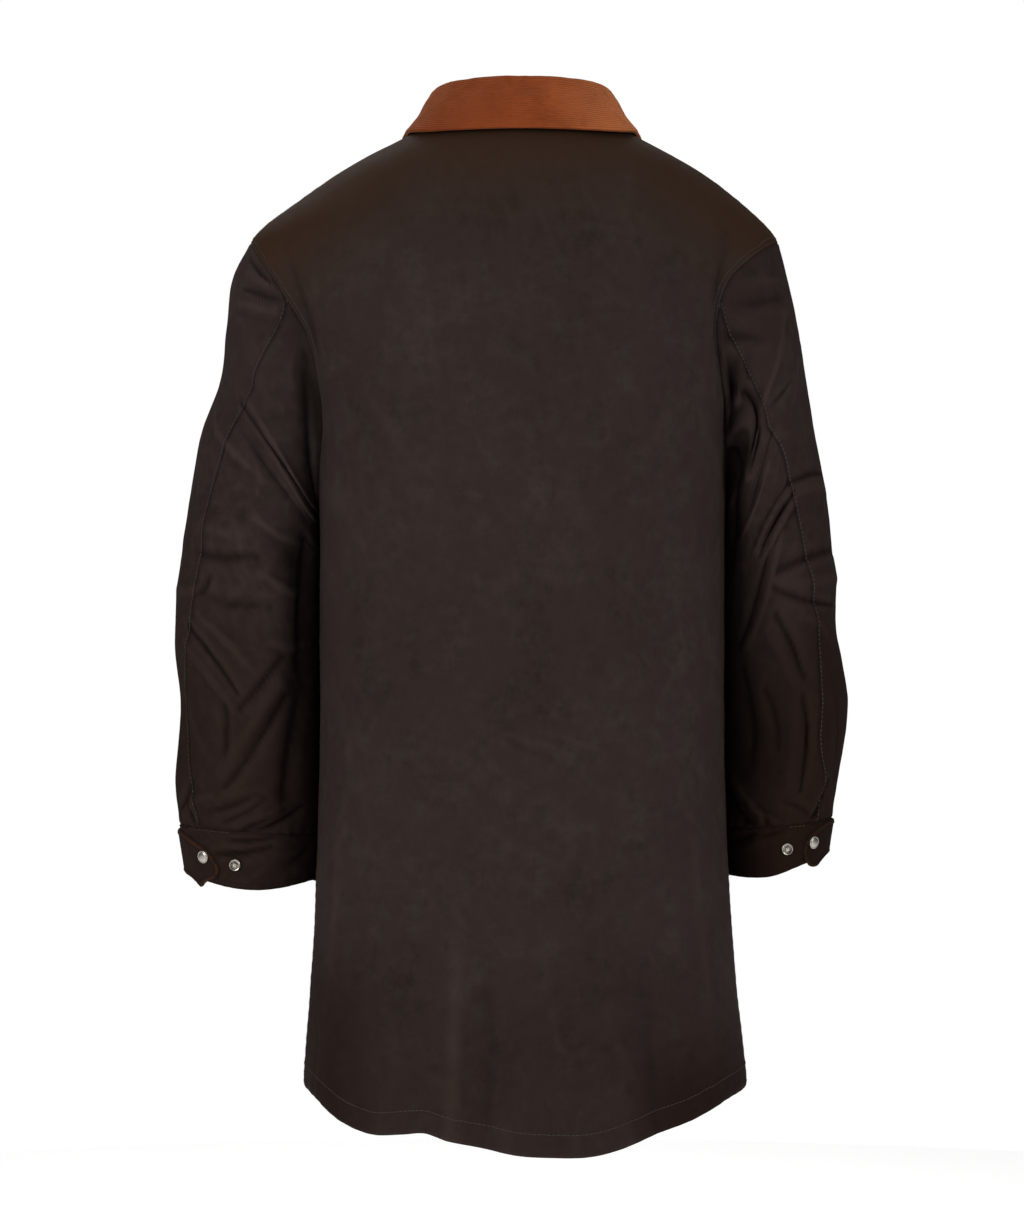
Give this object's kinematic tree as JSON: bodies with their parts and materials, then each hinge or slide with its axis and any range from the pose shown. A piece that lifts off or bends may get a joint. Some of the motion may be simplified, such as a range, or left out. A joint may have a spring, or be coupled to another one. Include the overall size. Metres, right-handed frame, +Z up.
{
  "type": "wax jacket",
  "caption": "Long waxed-cotton jacket, hollow as if worn: plain back, lapped fronts, two-piece sleeves, tabbed cuffs and a turned-down corduroy collar.",
  "frame": {"origin": "middle of the neck opening, level with the points where the shoulder seams meet the collar, where the wearer's shoulders hold the jacket up", "axes": "+Z up along the jacket's length, -Y the way the front faces, +X towards the wearer's left"},
  "size_m": [0.6271, 0.3238, 0.9603],
  "materials": {
    "waxed_cotton": "waxed, low sheen",
    "corduroy": "soft ribbed pile",
    "stud_metal": "worn nickel"
  },
  "bodies": {
    "root": {"back": "waxed_cotton", "front_left": "waxed_cotton", "front_right": "waxed_cotton", "sleeve_top_left": "waxed_cotton", "sleeve_top_right": "waxed_cotton", "sleeve_under_left": "waxed_cotton", "sleeve_under_right": "waxed_cotton", "cuff_left": "waxed_cotton", "cuff_right": "waxed_cotton", "cuff_tab_left": "waxed_cotton", "cuff_tab_right": "waxed_cotton", "collar": "corduroy", "tab_cap_left": "stud_metal", "tab_cap_right": "stud_metal", "cuff_stud_left": "stud_metal", "cuff_stud_right": "stud_metal", "front_cap_1": "stud_metal", "front_cap_2": "stud_metal", "front_cap_3": "stud_metal", "front_cap_4": "stud_metal", "front_cap_5": "stud_metal", "front_cap_6": "stud_metal"}
  },
  "joints": []
}
